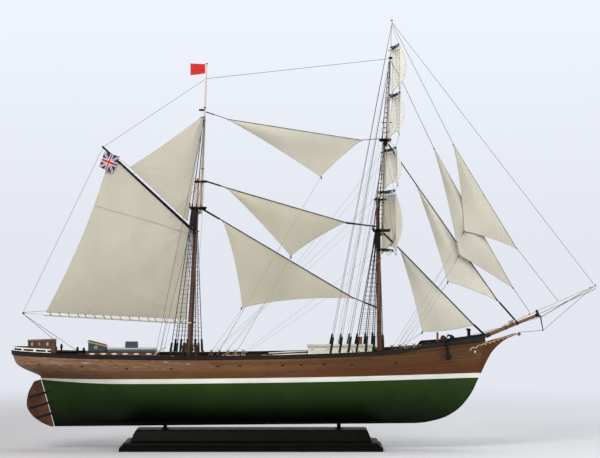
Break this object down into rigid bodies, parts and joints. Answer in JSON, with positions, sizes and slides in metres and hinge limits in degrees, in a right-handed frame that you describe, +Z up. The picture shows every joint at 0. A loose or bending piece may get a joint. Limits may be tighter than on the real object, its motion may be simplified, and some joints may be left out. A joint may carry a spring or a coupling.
{
  "type": "model sailing ship",
  "caption": "Two-masted sailing ship display model with square sails forward, a gaff mainsail, staysails and jibs, on a moulded stand; rudder, boom and yards turn.",
  "frame": {"origin": "centre of the stand's underside, on the hull's centreline", "axes": "+X towards the bow, +Y to port, +Z up the masts"},
  "size_m": [0.8779, 0.2798, 0.6438],
  "materials": {
    "stand_black": "satin black painted wood",
    "hull_paint": "planked hull, dark green below a white stripe, varnished mahogany above",
    "mahogany": "satin varnished red-brown wood",
    "pale_wood": "oiled pale wood",
    "plywood": "raw plywood",
    "deck_wood": "matt planked deck",
    "black_paint": "satin black painted wood",
    "white_paint": "white painted wood",
    "rudder_wood": "varnished red-brown planks",
    "grey_paint": "blue grey painted wood",
    "brown_panels": "varnished panels",
    "roof_paint": "pale grey paint",
    "dark_wood": "dark stained wood",
    "iron": "blackened metal",
    "sailcloth": "linen coloured woven cloth",
    "red_bunting": "red woven cloth",
    "blue_bunting": "blue, red and white woven cloth",
    "tarred_rope": "black tarred thread"
  },
  "bodies": {
    "hull": {"stand_base": "stand_black", "stand_post_aft": "stand_black", "stand_post_fore": "stand_black", "hull_shell": "hull_paint", "backbone": "hull_paint", "inner_frames": "plywood", "main_deck": "deck_wood", "forecastle_deck": "deck_wood", "bulwarks": "black_paint", "stern_railing": "white_paint", "wheelhouse": "brown_panels", "companionway": "grey_paint", "cabin_trunk": "grey_paint", "skylight": "grey_paint", "deckhouse": "white_paint", "deckhouse_roof": "roof_paint", "main_fife_rail": "dark_wood", "windlass": "dark_wood", "anchor_starboard": "iron", "anchor_port": "iron", "main_lower_mast": "mahogany", "fore_lower_mast": "mahogany", "bowsprit": "mahogany", "main_topmast": "pale_wood", "fore_topmast": "pale_wood", "fore_topgallant_mast": "pale_wood", "jib_boom": "pale_wood", "dolphin_striker": "black_paint", "main_top": "black_paint", "main_cap": "black_paint", "fore_top": "black_paint", "fore_cap": "black_paint", "fore_crosstrees": "black_paint", "house_flag": "red_bunting", "main_shrouds_starboard": "tarred_rope", "main_shrouds_port": "tarred_rope", "fore_shrouds_starboard": "tarred_rope", "fore_shrouds_port": "tarred_rope", "upper_staysail": "sailcloth", "middle_staysail": "sailcloth", "main_staysail": "sailcloth", "flying_jib": "sailcloth", "outer_jib": "sailcloth", "inner_jib": "sailcloth", "fore_staysail": "sailcloth"},
    "rudder": {"rudder": "rudder_wood"},
    "boom_and_gaff": {"main_boom": "white_paint", "gaff": "black_paint", "mainsail": "sailcloth", "gaff_topsail": "sailcloth", "ensign": "blue_bunting"},
    "fore_yard": {"fore_yard": "black_paint"},
    "lower_topsail_yard": {"lower_topsail_yard": "black_paint", "lower_topsail": "sailcloth"},
    "upper_topsail_yard": {"upper_topsail_yard": "black_paint", "upper_topsail": "sailcloth"},
    "topgallant_yard": {"topgallant_yard": "black_paint", "topgallant_sail": "sailcloth"},
    "royal_yard": {"royal_yard": "black_paint", "royal_sail": "sailcloth"}
  },
  "joints": [
    {"name": "rudder_turn", "type": "hinge", "parent": "hull", "child": "rudder", "pos_m": [-0.29673, 0, 0.03366], "axis": [-0.272, 0, 0.9623], "range_deg": [-35, 35]},
    {"name": "boom_swing", "type": "hinge", "parent": "hull", "child": "boom_and_gaff", "pos_m": [-0.08945, 0, 0.1895], "axis": [0.0441, 0, 0.999], "range_deg": [-15, 15]},
    {"name": "fore_yard_brace", "type": "hinge", "parent": "hull", "child": "fore_yard", "pos_m": [0.19105, 0, 0.2982], "axis": [-0.0133, 0, 0.9999], "range_deg": [-13, 7]},
    {"name": "lower_topsail_brace", "type": "hinge", "parent": "hull", "child": "lower_topsail_yard", "pos_m": [0.19884, 0, 0.3852], "axis": [0.0278, 0, 0.9996], "range_deg": [-13, 7]},
    {"name": "upper_topsail_brace", "type": "hinge", "parent": "hull", "child": "upper_topsail_yard", "pos_m": [0.20059, 0, 0.4482], "axis": [0.0278, 0, 0.9996], "range_deg": [-13, 7]},
    {"name": "topgallant_brace", "type": "hinge", "parent": "hull", "child": "topgallant_yard", "pos_m": [0.20766, 0, 0.5307], "axis": [0.0339, 0, 0.9994], "range_deg": [-13, 7]},
    {"name": "royal_brace", "type": "hinge", "parent": "hull", "child": "royal_yard", "pos_m": [0.21011, 0, 0.6027], "axis": [0.0339, 0, 0.9994], "range_deg": [-13, 7]}
  ],
  "couplings": [
    {"joint": "fore_yard_brace", "follows": "lower_topsail_brace", "ratio": 1},
    {"joint": "upper_topsail_brace", "follows": "lower_topsail_brace", "ratio": 1},
    {"joint": "topgallant_brace", "follows": "lower_topsail_brace", "ratio": 1},
    {"joint": "royal_brace", "follows": "lower_topsail_brace", "ratio": 1}
  ]
}
